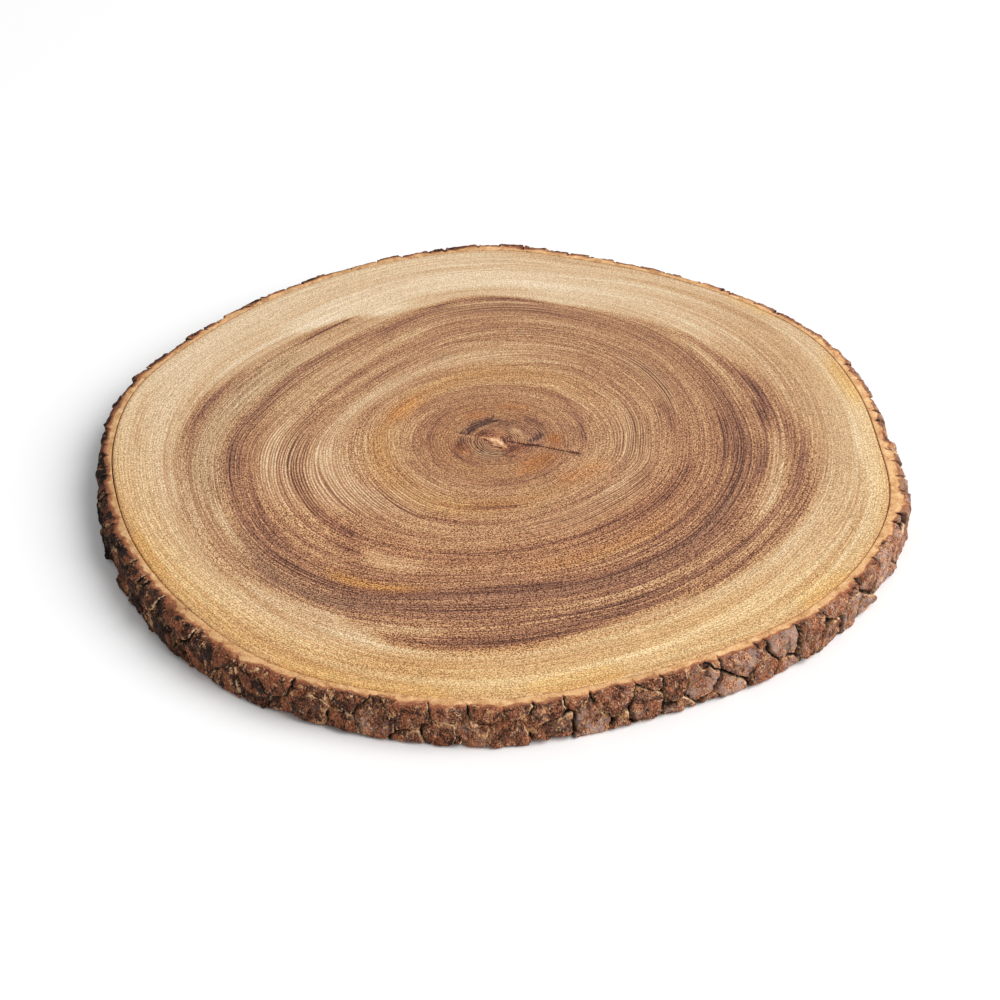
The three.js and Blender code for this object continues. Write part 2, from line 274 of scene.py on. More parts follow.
# Streaks differ from the wood round them. Each has an amount, a width from its middle to where it has mostly
# faded, and a path of (angle, ring) from end to end.
TONE_STREAKS = [
    # Sapwood: a grey right side, and thin pale and brown rings
    (0.13, 14, (-35, 160), (0, 152), (15, 150), (40, 158), (62, 164)),
    (0.12, 2.5, (30, 169), (45, 169.5), (60, 168.5), (70, 166)),
    (0.15, 0.9, (50, 178.5), (62, 177.5), (70, 174.5), (85, 176.5), (96, 177.2)),
    (-0.14, 1, (-12, 171), (30, 171), (40, 172.5)),
    (-0.12, 1, (46, 163.5), (58, 163.7), (72, 157.5), (82, 153), (105, 153.5), (122, 152)),
    (-0.1, 1.2, (66, 169), (82, 162), (95, 162.5), (105, 166.5), (118, 167)),
    (0.14, 0.8, (76, 132), (88, 131), (100, 132.5), (112, 135), (122, 136.8)),
    (0.36, 1.2, (120, 136.8), (127, 138.2), (133, 139), (141, 137.5)),
    (0.12, 2, (158, 171), (168, 172), (178, 169), (186, 165)),
    (0.05, 9, (174, 153), (200, 155), (226, 150)),
    (-0.14, 1, (236, 173), (260, 177), (285, 175), (305, 176.5), (330, 173), (345, 174), (362, 176)),
    (-0.16, 1.2, (232, 167), (256, 171.5), (275, 171), (295, 168), (310, 163.5), (325, 161), (340, 163)),
    (-0.16, 1.2, (336, 162), (350, 167), (360, 171), (372, 172)),
    (0.14, 1.5, (312, 171.5), (328, 171), (346, 171)),
    (-0.1, 0.8, (258, 159), (270, 156.5), (300, 157)),
    (-0.16, 12, (52, 150), (75, 140), (100, 146), (130, 150), (145, 160)),
    (-0.2, 5, (124, 146), (140, 147), (156, 147), (168, 146)),
    (-0.1, 2.5, (112, 154), (125, 153), (142, 153)),
    (0.1, 8, (222, 166), (245, 168), (270, 168)),
    (0.08, 2, (240, 177), (262, 177), (285, 175), (315, 173), (335, 172)),
    (0.13, 3, (192, 147), (210, 146), (232, 144)),
    (0.16, 2.2, (252, 157), (268, 157), (280, 155), (296, 153), (314, 152)),
    (-0.14, 2.5, (116, 143), (138, 143.5), (160, 142.5)),
    (0.14, 2, (12, 141), (28, 142), (46, 141)),
    (0.08, 1.5, (6, 149), (22, 149), (42, 148)),
    (-0.08, 2.5, (84, 173), (104, 174), (126, 173)),
    (-0.09, 2.5, (166, 150), (182, 149.5), (204, 149)),
    (-0.07, 3, (296, 166), (320, 166), (345, 169)),
    (-0.07, 7, (72, 171), (110, 173), (150, 173), (198, 172)),
    (-0.1, 4, (-18, 175.5), (20, 175.5)),
    (0.05, 7, (240, 166), (262, 167), (294, 166)),
    (0.14, 4, (210, 147), (226, 146.5), (250, 147)),
    (0.05, 4, (260, 150), (280, 150), (300, 148)),
    (-0.1, 2, (36, 142), (52, 143), (72, 141)),
    # The dark edge of the heartwood
    (-0.1, 1.5, (200, 138), (213, 137.5), (228, 136)),
    (-0.1, 2.5, (200, 126), (213, 126), (228, 127)),
    (0.24, 2.8, (-20, 130), (0, 131), (10, 133.5), (17, 136.5), (25, 135.5), (36, 133.5)),
    (0.34, 2, (80, 119.5), (86, 121), (93, 123), (99, 123), (104, 120.5), (113, 121.5)),
    (0.17, 2.8, (148, 140.5), (165, 142), (173, 144), (183, 145.2)),
    (0.28, 0.7, (150, 137), (158, 136.5), (164, 137.5)),
    (0.12, 5, (248, 150), (262, 149), (275, 147), (287, 143.5), (300, 143), (312, 145)),
    (0.1, 3, (296, 144), (310, 146), (330, 148), (352, 150)),
    (-0.26, 7, (104, 128), (118, 130), (130, 132), (150, 132)),
    (0.2, 1.2, (284, 138.5), (300, 138.5), (320, 139), (340, 141), (350, 143)),
    (-0.26, 3, (246, 143), (254, 143.5), (263, 144)),
    (-0.12, 1.2, (282, 134), (300, 134.5), (330, 134)),
    (-0.1, 2, (296, 142), (318, 142), (345, 144)),
    (-0.12, 3, (-8, 137), (8, 137), (24, 135)),
    (0.16, 2, (113, 136), (130, 137), (148, 135)),
    (-0.14, 3, (198, 127), (210, 128), (222, 127)),
    (-0.32, 5, (325, 137), (345, 135), (358, 134), (372, 129)),
    (0.2, 5, (234, 130), (250, 131), (265, 132), (282, 129)),
    (0.16, 2.5, (322, 129), (335, 131), (350, 130), (362, 131)),
    (-0.13, 3, (-2, 129), (28, 128.5), (64, 125)),
    (-0.1, 1.5, (52, 122), (68, 121), (86, 120.5)),
    (-0.14, 1.5, (200, 133), (225, 132.5), (245, 132), (266, 133)),
    (-0.11, 2, (292, 139), (315, 139.5), (335, 142), (362, 144)),
    (-0.1, 1.5, (290, 126), (320, 127), (350, 127)),
    (0.1, 1.5, (220, 126), (240, 125), (266, 123.5)),
    # The paler belt inside the sapwood on the left
    (-0.22, 9, (128, 133), (150, 133), (180, 132), (205, 137), (222, 138)),
    (0.2, 3.5, (205, 123), (218, 126), (228, 130), (240, 129), (252, 125)),
    # The dark ring
    (0.18, 2.4, (92, 121), (116, 118), (132, 121.5), (147, 122.5), (165, 118.5), (190, 118), (216, 118)),
    (0.16, 2.4, (175, 118), (205, 117), (230, 120), (245, 121), (318, 121), (350, 120)),
    (0.16, 2.4, (280, 121), (340, 121), (370, 119.5), (382, 121.5), (398, 122.5), (430, 120)),
    (-0.12, 3.5, (100, 126), (140, 127), (180, 126), (215, 126)),
    (-0.14, 0.8, (244, 124.5), (262, 124.5), (280, 124)),
    (0.18, 5, (-14, 114), (0, 115), (16, 113)),
    (0.1, 4, (14, 115), (35, 116), (55, 114), (75, 110), (92, 110), (110, 111)),
    (-0.12, 1, (20, 127.5), (40, 127), (50, 125.5), (60, 122.5), (70, 120), (80, 118.5)),
    (-0.22, 0.9, (78, 117.5), (108, 117.5)),
    (-0.12, 3, (140, 122), (158, 123), (172, 122)),
    (-0.15, 3, (118, 115), (135, 115), (152, 114)),
    (-0.18, 3, (188, 114), (212, 115)),
    (0.14, 3, (224, 116), (240, 117), (275, 116), (300, 116)),
    (-0.1, 2, (-18, 116), (2, 117), (20, 116)),
    (-0.12, 1.5, (256, 114.5), (285, 114.5), (310, 113)),
    (-0.1, 2, (195, 118), (228, 118)),
    (0.1, 1.5, (250, 117.5), (290, 118), (320, 117.5)),
    (-0.09, 6, (10, 128), (54, 128)),
    (-0.07, 6, (194, 128), (224, 128)),
    (0.08, 3, (182, 113), (205, 111), (230, 112)),
    (-0.14, 2.6, (230, 112), (243, 114.5), (256, 116)),
    # Belts between the dark ring and the one inside it
    (0.13, 3, (160, 106), (180, 106), (205, 105)),
    (-0.1, 3, (212, 107), (225, 107), (240, 106)),
    (0.08, 1.5, (250, 109), (280, 109), (318, 110)),
    (-0.24, 6, (120, 109), (140, 110), (165, 109), (180, 104), (205, 101), (222, 99)),
    (-0.2, 4.5, (232, 97), (246, 99), (255, 100)),
    (-0.06, 3.5, (272, 104), (332, 104)),
    (0.18, 1, (308, 110.5), (338, 110.5)),
    (-0.1, 4, (0, 104), (25, 106), (60, 101), (100, 100)),
    (0.16, 0.7, (118, 99), (162, 99)),
    (-0.12, 4, (100, 104), (130, 105), (155, 104)),
    # The inner dark ring
    (0.14, 5, (223, 88), (228, 91), (236, 101), (242, 106)),
    (0.1, 2.5, (150, 98), (165, 97), (178, 93), (205, 90.5), (220, 89.5), (240, 88.5)),
    (0.1, 4, (246, 92), (270, 92), (300, 94), (356, 94)),
    (0.22, 0.9, (283, 87.5), (300, 89.5), (320, 88.5), (335, 89), (352, 90.5)),
    (0.18, 0.7, (45, 92.5), (60, 91.5), (75, 92.5), (90, 92), (106, 93)),
    (0.26, 0.6, (68, 79.5), (78, 81), (90, 82.5), (100, 85.5), (110, 88), (116, 91), (121, 90.5)),
    (0.26, 0.7, (118, 90.5), (127, 89), (135, 90), (145, 88.5), (156, 90)),
    (0.14, 0.8, (163, 93), (175, 88), (185, 86), (200, 86.5), (240, 86)),
    (0.16, 2.5, (2, 85), (14, 83.5), (28, 82)),
    (-0.12, 6, (120, 81), (150, 80), (180, 80), (210, 78), (234, 76)),
    (-0.1, 7, (176, 76), (224, 76)),
    (0.12, 4, (322, 95), (340, 96), (356, 95)),
    (0.11, 4, (214, 86), (230, 85), (248, 86)),
    (-0.1, 3, (230, 95), (245, 96), (260, 94)),
    (0.12, 1.5, (240, 87), (265, 88), (295, 86)),
    (-0.1, 2.5, (85, 86), (105, 87), (128, 85)),
    (0.12, 1.2, (30, 81), (55, 82.5), (82, 81)),
    (0.08, 2.5, (284, 95), (305, 96), (330, 95), (356, 97)),
    (-0.1, 2, (112, 93), (138, 94), (168, 93)),
    (-0.13, 2, (168, 91), (195, 91), (226, 92)),
    (0.08, 1.5, (246, 87), (275, 86.5), (304, 88)),
    (-0.08, 2, (295, 93), (322, 94.5), (350, 94)),
    (-0.1, 1.5, (78, 83), (94, 82.5), (110, 83)),
    (0.1, 1.2, (186, 80), (206, 80), (226, 79.5)),
    (0.1, 3, (302, 77), (325, 78), (350, 76)),
    (0.09, 2, (334, 95), (350, 96), (368, 95)),
    (0.09, 2, (8, 95), (28, 95.5), (56, 95)),
    (0.1, 1, (10, 81.5), (40, 82), (86, 82)),
    # Rings round the heart
    (-0.12, 5, (158, 52), (180, 50), (205, 45)),
    (0.12, 9, (322, 78), (345, 72), (365, 66), (388, 65)),
    (-0.12, 5, (320, 44), (360, 44)),
    (-0.12, 5, (190, 25), (220, 25), (260, 24), (330, 25)),
    (0.1, 1, (14, 69.5), (50, 69.5)),
    (0.1, 2, (98, 24), (113, 25), (130, 25)),
    (0.08, 1.5, (100, 33), (158, 33)),
    (0.1, 2, (162, 69), (177, 67.5), (194, 67)),
    (-0.1, 2, (76, 68.5), (100, 68.5), (122, 70)),
    (0.1, 2, (188, 64), (215, 63), (238, 64), (282, 64.5)),
    (0.11, 2, (252, 56), (280, 54), (305, 51), (328, 51)),
    (0.1, 1.5, (300, 62.5), (325, 63.5), (350, 65)),
    (-0.09, 2, (178, 47), (210, 46.5), (256, 45)),
    (0.08, 1.5, (114, 43), (142, 43), (170, 42)),
    (0.1, 1.5, (300, 33.5), (325, 34.5), (350, 36)),
    (-0.1, 6, (50, 75), (160, 75), (215, 74)),
    (-0.1, 1.2, (50, 70), (75, 70), (95, 69), (118, 70)),
    (0.14, 2.5, (146, 72), (160, 71.5), (174, 69)),
    (0.18, 1.4, (196, 63), (220, 63), (240, 66), (262, 66), (300, 64), (320, 63.5), (335, 65), (352, 69)),
    (0.18, 3, (250, 53), (265, 52.5), (278, 52.5), (286, 54)),
    (0.2, 1.8, (-14, 39), (0, 41), (15, 41.5), (25, 44), (35, 45), (45, 48), (60, 48.5), (92, 46)),
    (-0.1, 1, (22, 51), (40, 52), (62, 51.5)),
    (0.12, 0.6, (200, 43.5), (240, 43.5)),
    (0.16, 0.6, (250, 35.5), (300, 35.5), (335, 36), (345, 39), (362, 41)),
    (0.14, 2.5, (124, 34), (140, 33), (170, 32), (185, 33), (202, 34.5)),
    (0.22, 3, (-4, 20), (20, 22), (35, 24.5), (50, 24), (66, 21)),
    (0.26, 1.1, (186, 21), (200, 21.5), (220, 22), (246, 21.5), (264, 21.5)),
    (0.22, 1.1, (-10, 69.5), (25, 70), (62, 70), (88, 71)),
    (0.14, 1.4, (250, 64), (266, 64.5), (285, 63), (304, 62), (322, 63), (344, 64)),
    (0.13, 2.5, (120, 44), (138, 45), (156, 44)),
    # Close round the pith
    (-0.06, 4, (262, 15), (368, 15)),
    (0.1, 1.5, (84, 15.5), (110, 15.5), (150, 15)),
    (-0.2, 2.5, (-12, 13), (24, 13)),
    (-0.1, 1.5, (160, 16), (200, 16)),
    (0.15, 1.2, (322, 17), (338, 17.5), (352, 17)),
    (0.18, 2.5, (282, 11), (300, 11), (325, 10), (346, 11)),
    (0.16, 1.4, (-14, 6), (10, 6), (40, 6.5)),
    (0.12, 2.5, (56, 15), (75, 15), (94, 14)),
    (0.14, 2.5, (164, 16), (185, 16), (212, 18)),
    (-0.14, 1.6, (16, 12.5), (40, 12), (62, 12)),
]
HONEY_STREAKS = [
    # In the heartwood
    (1, 3.2, (230, 112), (243, 114.5), (258, 117)),
    (0.5, 4, (272, 104), (332, 104)),
    (0.6, 7, (0, 57), (120, 57), (180, 54), (240, 56), (300, 48), (330, 50), (359, 56)),
    (0.3, 14, (0, 24), (359, 24)),
    (0.7, 3, (-6, 28), (16, 28)),
    (0.6, 5, (296, 28), (320, 26), (340, 27)),
    # Young wood under the bark
    (0.66, 16, (160, 176), (240, 168), (280, 166), (310, 165), (340, 172), (365, 176)),
    (0.3, 5, (140, 179), (200, 178), (280, 178), (360, 179), (410, 179)),
    (0.8, 3, (240, 178), (252, 178)),
    (1, 3, (249, 179), (257, 179.5), (265, 179)),
    (0.8, 3, (272, 176), (280, 176), (289, 175)),
    (0.8, 4, (36, 180), (50, 180)),
    (0.7, 4, (203, 178), (217, 178)),
    (0.7, 4, (276, 178), (288, 178)),
    (0.6, 4, (315, 178), (328, 178)),
    (0.7, 4, (8, 177), (17, 177.5), (26, 177)),
    (0.4, 7, (-24, 175), (0, 176), (34, 175)),
]
OLIVE_STREAKS = [
    (0.7, 11, (130, 132), (190, 132), (214, 131)),
    (0.7, 5, (205, 123), (218, 126), (228, 130), (240, 129), (254, 125)),
    (0.5, 2, (244, 123.5), (270, 123.5), (320, 123), (362, 121)),
    (1, 1.6, (81, 88.5), (86, 88.5)),
    (0.8, 2.2, (105, 78), (115, 78)),
]
RUDDY_STREAKS = [
    (0.38, 26, (165, 92), (230, 90), (280, 92), (330, 92), (385, 90)),
]
# Combed grain, where each year's line stands out
COMB_STREAKS = [
    (1, 5, (140, 10), (230, 10), (300, 9)),
    (1, 3.5, (5, 9), (85, 9)),
    (1, 14, (160, 100), (185, 95), (205, 85), (225, 62), (250, 54)),
    (0.9, 9, (270, 72), (300, 74), (330, 74), (355, 66), (380, 64), (398, 64)),
    (0.8, 5, (10, 88), (55, 88)),
    (0.2, 22, (175, 150), (215, 150), (250, 160)),
    (0.5, 6, (60, 112), (90, 112), (120, 110)),
    (0.5, 8, (60, 158), (130, 158)),
]
STREAKS = {
    "tone": TONE_STREAKS,
    "honey": HONEY_STREAKS,
    "olive": OLIVE_STREAKS,
    "ruddy": RUDDY_STREAKS,
    "comb": COMB_STREAKS,
}
STREAK_FADE = 0.3  # how much of a streak each end takes to fade
# How unevenly a streak is coloured, and the noise for that, drawn out along the rings
FRAY = 0.2
FRAY_ROUND = 40
FRAY_ACROSS = 4
FRAY_SIZE = 18
RING_WAVER = 0.7  # how far a ring strays from its smooth course
WAVER_SIZE = 0.25 * WOOD_RADIUS
# Fine rings sway: near which ring, how far in and out that reaches, and how far outwards every 15 degrees
SWAYS = [
    (65, 28, [4, 4, 4, 3, 4, 1, -1, -1, 1, 4, 5, 4, 0, -2, -2, -1, 1, 1, -1, -2, -2, -3, -1, 3]),
    (155, 30, [5, 7, 8, 9, 7, 1, -2, -2, -3, -5, -2, -3, -5, -6, -8, -9, -5, 3, 3, 1, 1, -2, -3, 0]),
]
# How strongly each year's line stands out in heartwood and in sapwood
HEART_COMB = 0.55
SAP_COMB = 0.3
# Pores are fainter at the back and close round the pith: how faint, and where they come in fully
FAINT_PORES = 0.7
PORES_TO_FRONT = (-120, 60)
PORES_BY_RING = (20, 75)


def growth_radius(ring, angle):
    """Pith to a growth ring."""
    known = [
        (0, 0),
        (ROUND_RING, ROUND_RING),
        (INNER_RING, around(INNER_RING_RADII, angle)),
        (OUTER_RING, around(OUTER_RING_RADII, angle)),
        (LAST_RING, around(WOOD_RADII, angle)),
    ]
    radius = 0
    for (low, inner), (high, outer) in zip(known, known[1:]):
        radius = radius + (outer - inner) * np.clip((ring - low) / (high - low), 0, 1)
    return radius


def fine_ring(ring, angle):
    """The fine ring that passes through each place."""
    swayed = ring
    for middle, reach, outwards in SWAYS:
        swayed = swayed - around(outwards, angle) * smoothstep(reach - np.abs(ring - middle), 0, reach)
    return swayed


def streak_share(width, path, angle, ring):
    """How much of a streak shows at each place, from 0 to 1."""
    start = path[0][0]
    span = path[-1][0] - start
    along = (angle - start) % 360
    ends = smoothstep(along, 0, STREAK_FADE * span) * smoothstep(span - along, 0, STREAK_FADE * span)
    return ends * np.exp(-(((ring - read(path, start + along)) / width) ** 2))


# Cracks: the drying check and the ring shake, as (x, y) from end to end
CHECK_PATH = [(5, 0), (13, -2.6), (19, -3.6), (30, -7.8), (38.5, -10.4)]
SHAKE_PATH = [(-1, 17), (-5.5, 14.6), (-10, 11.2), (-13.5, 7.6), (-15.5, 3.6)]

# Stains are marks close round the pith. Each has an amount, a width and (x, y) from end to end.
TONE_STAINS = [
    # The torn pith, and the red-brown wood round it
    (-0.34, 0.5, (-7, 3.2), (-3.5, 2.2), (-1, 1.4)),
    (-0.52, 1.9, (-1.4, 1.4), (1, 0.4), (1.7, -1)),
    (-0.52, 0.8, (1.8, -1), (3.2, -3.5), (4.2, -5)),
    (-0.4, 0.5, (-2, -2.6), (1, -4)),
    (0.45, 0.6, (2.2, 3), (3.2, 0.6), (4, -1.6)),
    (0.5, 0.5, (-6, 1.6), (-3, -1), (-2, -3.6), (2, -5.6)),
    (0.12, 2.6, (4.5, -3), (7.5, -5), (12, -4)),
    (0.06, 2.2, (4, -8.6), (7.5, -8), (10.5, -6.2)),
    (0.24, 0.9, (2.6, -11.2), (5, -12.6), (8, -12.6)),
    (0.3, 0.7, (3.2, 0.4), (4.2, 2.6), (5.6, 3.8)),
    (0.24, 0.6, (6.4, 1.2), (6.8, 4.2), (4.6, 7)),
    (0.26, 2.4, (-9, 6.5), (-4, 6)),
    (-0.22, 1.2, (8.5, 10), (11, 8), (12.2, 4.5)),
    # Dark wood along the drying check
    (0.3, 0.6, *CHECK_PATH),
    (0.3, 1.4, (14.5, -3.6), (19, -3.4)),
    (0.24, 1.6, (16, 0.5), (19.5, 2.5), (21, 5.5)),
    (0.2, 1.8, (35, -9.2), (38, -11)),
    # Dark, ragged wood outside the ring shake, a pale edge inside it, and a pale fleck at its end
    (0.38, 0.6, (-0.5, 17.2), (-4, 15.6), (-7.5, 13.4), (-11, 10.8), (-13.5, 8)),
    (0.36, 0.5, (-14.5, 10), (-10, 13.6), (-7, 15.4)),
    (0.3, 0.5, (-13.5, 12.6), (-9, 16.2), (-4, 18.6)),
    (0.24, 0.5, (-9.5, 12.4), (-6, 15.6), (-3, 17.6)),
    (0.34, 0.5, (-4.5, 16.5), (-2.5, 19), (-1.5, 21.5)),
    (0.34, 0.5, (-2, 17.2), (1, 18)),
    (0.12, 2.6, (-4, 16.5), (-10.5, 13), (-14, 9.5)),
    (-0.16, 0.7, (-0.5, 15.4), (-5, 12.6), (-9, 9), (-11.4, 5.4)),
    (-0.35, 0.5, (-18, 4.8), (-16, 5), (-13, 4)),
    (0.25, 0.8, (-18, 7), (-15, 5.8), (-13, 6)),
    (0.12, 2.2, (-17, 2.8), (-17.5, -1.5), (-19, -4)),
]
RUDDY_STAINS = [
    (1.5, 2.2, (-4, 2), (1, 0.5), (3, -3.5)),
    (1, 4.5, (4, -4), (8, -7), (12, -4)),
    (0.8, 3.5, (-8, 6), (-3, 6), (2, 5.5)),
]
OLIVE_STAINS = [
    (0.9, 3.5, (-6, -11), (-2, -12), (1, -10.5)),
    (1, 2.6, (16, 0.5), (19.5, 2.5), (21, 5.5)),
    (1, 3.5, (-3, 17), (-10.5, 13), (-15, 9.5)),
]
HONEY_STAINS = []
# Orange patches round the heart: width, then (x, y) from end to end
ORANGE_PATCHES = [
    (3.5, (-17.5, -5.5), (-15.5, -7.5)),
    (4, (26.5, 2.5), (27.5, -2)),
    (5, (14, -19), (20, -16), (24, -13)),
    (2.5, (11, -26), (13, -25.5)),
    (5, (33, -31), (40, -26), (46, -20)),
    (3, (5, 29.5), (12, 28.5)),
    (3, (-12, 21), (-8, 23)),
    (5.5, (-48, 22), (-40, 33)),
]
PATCH_HONEY = 0.2
PATCH_RUDDY = 0.75
for patch in ORANGE_PATCHES:
    HONEY_STAINS.append((PATCH_HONEY, *patch))
    RUDDY_STAINS.append((PATCH_RUDDY, *patch))
STAINS = {"tone": TONE_STAINS, "ruddy": RUDDY_STAINS, "olive": OLIVE_STAINS, "honey": HONEY_STAINS}
STAIN_RAGGED = 0.7  # how uneven a stain is, and how fine that is
STAIN_GRAIN = 1.4


def path_distance(path, x, y):
    """How far each place is from a path of straight legs, and how far along it as a share."""
    path = np.array(path, float)
    lengths = np.hypot(*np.diff(path, axis=0).T)
    nearest = np.full(np.shape(x), np.inf)
    along = np.zeros(np.shape(x))
    for leg, length in enumerate(lengths):
        (ax, ay), (bx, by) = path[leg], path[leg + 1]
        t = np.clip(((x - ax) * (bx - ax) + (y - ay) * (by - ay)) / length**2, 0, 1)
        distance = np.hypot(x - lerp(ax, bx, t), y - lerp(ay, by, t))
        closer = distance < nearest
        nearest = np.where(closer, distance, nearest)
        along = np.where(closer, (lengths[:leg].sum() + t * length) / lengths.sum(), along)
    return nearest, along


def wood_figure(angle, ring, x, y):
    """What streaks and stains add to, at each place on a cut face."""
    angles, rings, widths = np.transpose(SAP_EDGE)
    edge = np.interp(angle % 360, angles, rings)
    softness = np.interp(angle % 360, angles, widths)
    sap = smoothstep(ring, edge - softness, edge + softness)
    porous = smoothstep(-y, *PORES_TO_FRONT) * smoothstep(ring, *PORES_BY_RING)
    figure = {
        "tone": lerp(read(HEART_TONE, ring), SAP_TONE, sap),
        "honey": np.zeros_like(ring),
        "olive": np.zeros_like(ring),
        "ruddy": np.zeros_like(ring),
        "comb": lerp(HEART_COMB, SAP_COMB, sap),
        "pores": lerp(FAINT_PORES, 1.0, porous),
    }
    fray = 1 + FRAY * noise_at(*turned(FRAY_ROUND, angle), FRAY_ACROSS * ring, FRAY_SIZE)
    for kind, streaks in STREAKS.items():
        for amount, width, *path in streaks:
            figure[kind] += amount * fray * streak_share(width, path, angle, ring)
    ragged = 1 + STAIN_RAGGED * noise_at(x, y, 0, STAIN_GRAIN)
    for kind, stains in STAINS.items():
        for amount, width, *path in stains:
            distance = path_distance(path, x, y)[0]
            figure[kind] += amount * ragged * np.exp(-((distance / width) ** 2))
    return figure


# The wood's mesh

CHECK_WIDTH = 0.9
CHECK_DEPTH = 4
SHAKE_WIDTH = 1.1
SHAKE_DEPTH = 2
CRACK_TIP = 0.02  # half a crack's width at its ends
CRACK_FOOT = 0.3  # the flat foot of a crack, as a share of its width
LEAST_CRACK = 0.1  # where half the width is less, the crack is shut
RIM_BEVEL = 0.5
TORN_DEPTH = 0.5  # the pith is torn out unevenly: how deep, how far, and how fine
TORN_RADIUS = 5
TORN_GRAIN = 1.5
PITH_TONE = 0.5  # at the very middle
PITH_PORES = 0.35
# Columns round the face and rings across it, closer where the cracks are: from, to and step
WOOD_COLUMNS = [(0, 360, 0.9), (342.5, 351, 0.25)]
WOOD_RINGS = [(0.6, 12.5, 0.6), (12.5, 19, 0.3), (19, 60, 0.9), (60, LAST_RING - RIM_BEVEL, 1.3)]
UNDERSIDE_RINGS = (LAST_RING - RIM_BEVEL, 2, -6)
WOOD_WALL_POINTS = 5


def crack_depth(path, width, depth, x, y):
    """A crack that is widest midway and shuts at its ends."""
    distance, along = path_distance(path, x, y)
    half = width / 2 * np.sqrt(np.clip(np.sin(math.pi * along), 0, 1)) + CRACK_TIP
    return depth * (1 - smoothstep(distance, CRACK_FOOT * half, half)) * (half > LEAST_CRACK)


def wood_section():
    """Points as (ring, depth), from the pith over the upper face, down the rim and back under."""
    rings = np.concatenate([np.arange(*span) for span in WOOD_RINGS])
    rim = [(LAST_RING - RIM_BEVEL, 0), (LAST_RING, RIM_BEVEL)]
    depths = np.linspace(RIM_BEVEL, THICKNESS - RIM_BEVEL, WOOD_WALL_POINTS)[1:]
    wall = [(LAST_RING, depth) for depth in depths]
    underside = [(ring, THICKNESS) for ring in np.arange(*UNDERSIDE_RINGS)]
    return [(ring, 0) for ring in rings] + rim + wall + underside


def wood_mesh():
    columns = np.unique(np.concatenate([np.arange(*span) for span in WOOD_COLUMNS]))
    ring, depth = (np.array(values, float)[:, None] for values in zip(*wood_section()))
    ring, depth, angle = np.broadcast_arrays(ring, depth, columns[None, :])
    radius = growth_radius(ring, angle)
    x, y = turned(radius, angle)
    check = crack_depth(CHECK_PATH, CHECK_WIDTH, CHECK_DEPTH, x, y)
    shake = crack_depth(SHAKE_PATH, SHAKE_WIDTH, SHAKE_DEPTH, x, y)
    torn = TORN_DEPTH * np.exp(-((radius / TORN_RADIUS) ** 2)) * (1 + noise_at(x, y, 0, TORN_GRAIN)) / 2
    hollow = np.maximum(np.maximum(check, shake), torn)
    depth = np.where(depth < RIM_BEVEL, depth + hollow, depth)
    points = np.stack([x, y, THICKNESS - depth], axis=-1)
    mesh = ring_mesh("wood", points, poles=[(0, 0, THICKNESS - TORN_DEPTH / 2), (0, 0, 0)])
    ring = ring + RING_WAVER * smoothstep(ring, 0, ROUND_RING) * noise_at(x, y, 0, WAVER_SIZE)
    figure = wood_figure(angle, ring, x, y)
    store(mesh, "figure", [figure["tone"], figure["honey"], figure["olive"]], [(PITH_TONE, 0, 0)] * 2)
    store(mesh, "grain", [figure["comb"], figure["pores"], figure["ruddy"]], [(0, PITH_PORES, 0)] * 2)
    store(mesh, "growth", [*turned(1, angle), fine_ring(ring, angle)], [(1, 0, 0)] * 2)
    return mesh


# The wood's material

# Tone and colour, from the palest cream to the darkest plum brown
WOOD_COLOURS = [
    (0, 236, 214, 184),
    (0.15, 221, 195, 160),
    (0.35, 202, 164, 123),
    (0.55, 180, 136, 98),
    (0.7, 163, 116, 86),
    (0.85, 138, 96, 76),
    (1, 92, 61, 50),
]
# What tinted wood, open pores and the stuff between them do to that colour
HONEY_TINT = (1.03, 0.9, 0.6, 1)
OLIVE_TINT = (0.92, 1.03, 1.11, 1)
RUDDY_TINT = (1.04, 0.88, 0.8, 1)
PORE_TINT = (0.26, 0.17, 0.11, 1)
FIBRE_TINT = (1.66, 1.75, 1.81, 1)
WOOD_GLOSS = 0.15
# Bands and lines run along the rings: how often they change round the trunk, in x and y, and by the ring
BAND_SCALE = (0.75, 0.75, 0.2)
LINE_SCALE = (1, 1, 0.8)
# Pores: how many to a metre, and how much they change from ring to ring
PORE_SCALE = (1500, 1500, 0)
PORE_RING_SCALE = 0.75
# Scale, detail and roughness of each noise
BAND_NOISE = (1, 3, 0.6)
LINE_NOISE = (1, 2, 0.6)
PORE_NOISE = (1, 1, 0.8)
COMB_SPACING = 1.2
COMB_STRAY = 4  # how many spacings the combed lines stray by
COMB_TONE = 0.2
WOOD_BUMP = (0.15, 0.0004)  # strength, and depth in metres
# Spans: from where to where, then from what to what if not from 0 to 1
PALE_TO_DARK = (0.15, 0.75)
BAND_TONE = (0.3, 0.7, -0.07, 0.07)
LINE_SWING = (0.36, 0.64, -1, 1)
LINES_BY_RING = (25, 90, 0.5, 1)
LINES_BY_DARKNESS = (0, 1, 0.05, 0.13)
PORE_EDGE = (0.41, 0.59)
PORES_BY_COMB = (0.5, 1.2, 1, 0.6)
PORES_BY_DARKNESS = (0, 1, 0.5, 1)
ROUGHNESS_BY_PORE = (0.3, 0.7, 0.45, 0.65)


